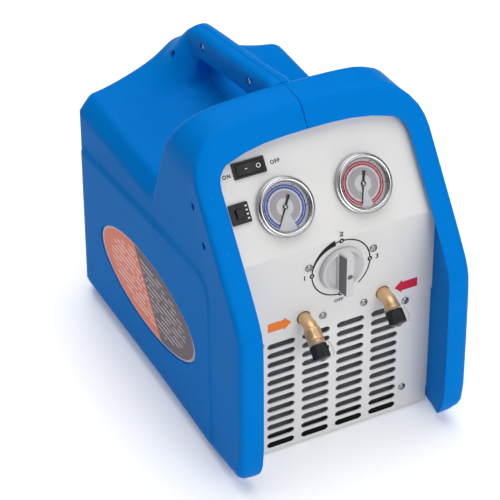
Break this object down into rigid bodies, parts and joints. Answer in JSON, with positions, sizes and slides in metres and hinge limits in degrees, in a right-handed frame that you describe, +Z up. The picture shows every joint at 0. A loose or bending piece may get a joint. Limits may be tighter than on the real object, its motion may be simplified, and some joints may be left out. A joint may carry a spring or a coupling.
{
  "type": "refrigerant recovery machine",
  "caption": "Portable refrigerant recovery machine: moulded half shells with a carry handle round a bent control panel with gauges, selector knob, switch, hose ports and a slotted grille.",
  "frame": {"origin": "middle of the machine's footprint, on the floor under its feet", "axes": "+Z up, the control panel faces -Y, and +X is to the right seen from the front"},
  "size_m": [0.25, 0.3838, 0.3565],
  "materials": {
    "aluminium": "cast and finned aluminium",
    "black_plastic": "black moulded",
    "brass": "machined brass",
    "chrome": "polished",
    "clear_lens": "clear",
    "clear_strap": "soft translucent strap",
    "copper": "drawn copper",
    "dial_white": "white printed sheet",
    "knob_grey": "light grey moulded",
    "motor_grey": "dark grey paint",
    "panel_grey": "light grey powder coat",
    "rubber": "black rubber",
    "shell_blue": "satin moulded blue",
    "zinc_steel": "zinc plated"
  },
  "bodies": {
    "machine": {"base_plate": "zinc_steel", "breaker_body": "black_plastic", "compressor_cradle": "zinc_steel", "compressor_motor": "motor_grey", "condenser_coil": "aluminium", "control_panel": "panel_grey", "discharge_tube": "copper", "fan_motor": "motor_grey", "fan_shroud": "black_plastic", "foot_front_left": "rubber", "foot_front_right": "rubber", "foot_rear_left": "rubber", "foot_rear_right": "rubber", "grille_panel": "panel_grey", "grille_screw_lower_left": "zinc_steel", "grille_screw_lower_right": "zinc_steel", "grille_screw_upper_left": "zinc_steel", "grille_screw_upper_right": "zinc_steel", "handle_screw_front": "zinc_steel", "handle_screw_middle": "zinc_steel", "handle_screw_rear": "zinc_steel", "inlet_fitting": "brass", "left_crankcase": "aluminium", "left_cylinder_head": "aluminium", "left_gauge_bezel": "chrome", "left_gauge_case": "zinc_steel", "left_gauge_dial": "dial_white", "left_gauge_lens": "clear_lens", "left_shell": "shell_blue", "liquid_tube": "copper", "manifold_screw_lower_left": "zinc_steel", "manifold_screw_lower_right": "zinc_steel", "manifold_screw_upper_left": "zinc_steel", "manifold_screw_upper_right": "zinc_steel", "outlet_fitting": "brass", "power_inlet": "black_plastic", "rear_panel": "panel_grey", "right_crankcase": "aluminium", "right_cylinder_head": "aluminium", "right_gauge_bezel": "chrome", "right_gauge_case": "zinc_steel", "right_gauge_dial": "dial_white", "right_gauge_lens": "clear_lens", "right_shell": "shell_blue", "rocker_housing": "black_plastic", "run_capacitor": "aluminium", "suction_tube": "copper", "valve_block": "aluminium"},
    "knob": {"selector_knob": "knob_grey", "knob_screw": "zinc_steel", "valve_stem": "zinc_steel"},
    "left_needle": {"left_gauge_needle": "black_plastic"},
    "right_needle": {"right_gauge_needle": "black_plastic"},
    "rocker": {"rocker": "black_plastic"},
    "breaker_button": {"breaker_button": "black_plastic"},
    "inlet_cap": {"inlet_cap": "black_plastic", "inlet_cap_strap": "clear_strap"},
    "outlet_cap": {"outlet_cap": "black_plastic", "outlet_cap_strap": "clear_strap"},
    "fan": {"fan_rotor": "black_plastic"}
  },
  "joints": [
    {"name": "selector_turn", "type": "hinge", "parent": "machine", "child": "knob", "pos_m": [0.006, -0.145, 0.208], "axis": [0, 1, 0], "range_deg": [0, 270]},
    {"name": "left_needle_turn", "type": "hinge", "parent": "machine", "child": "left_needle", "pos_m": [-0.042, -0.11864, 0.27798], "axis": [0, 0.7986, -0.6018], "range_deg": [0, 290], "stiffness_Nm_per_rad": 0.0002},
    {"name": "right_needle_turn", "type": "hinge", "parent": "machine", "child": "right_needle", "pos_m": [0.042, -0.11864, 0.27798], "axis": [0, 0.7986, -0.6018], "range_deg": [0, 290], "stiffness_Nm_per_rad": 0.0002},
    {"name": "rocker_tilt", "type": "hinge", "parent": "machine", "child": "rocker", "pos_m": [-0.066, -0.0915, 0.314], "axis": [0, 0.6018, 0.7986], "range_deg": [0, 16]},
    {"name": "breaker_pop", "type": "slide", "parent": "machine", "child": "breaker_button", "axis": [0, -0.7986, 0.6018], "range_m": [0, 0.004]},
    {"name": "inlet_cap_draw", "type": "slide", "parent": "machine", "child": "inlet_cap", "axis": [0, -0.766, -0.6428], "range_m": [0, 0.013]},
    {"name": "outlet_cap_draw", "type": "slide", "parent": "machine", "child": "outlet_cap", "axis": [0, -0.766, -0.6428], "range_m": [0, 0.013]},
    {"name": "fan_spin", "type": "hinge", "parent": "machine", "child": "fan", "pos_m": [0, -0.1004, 0.0746], "axis": [0, 1, 0], "continuous": true}
  ]
}
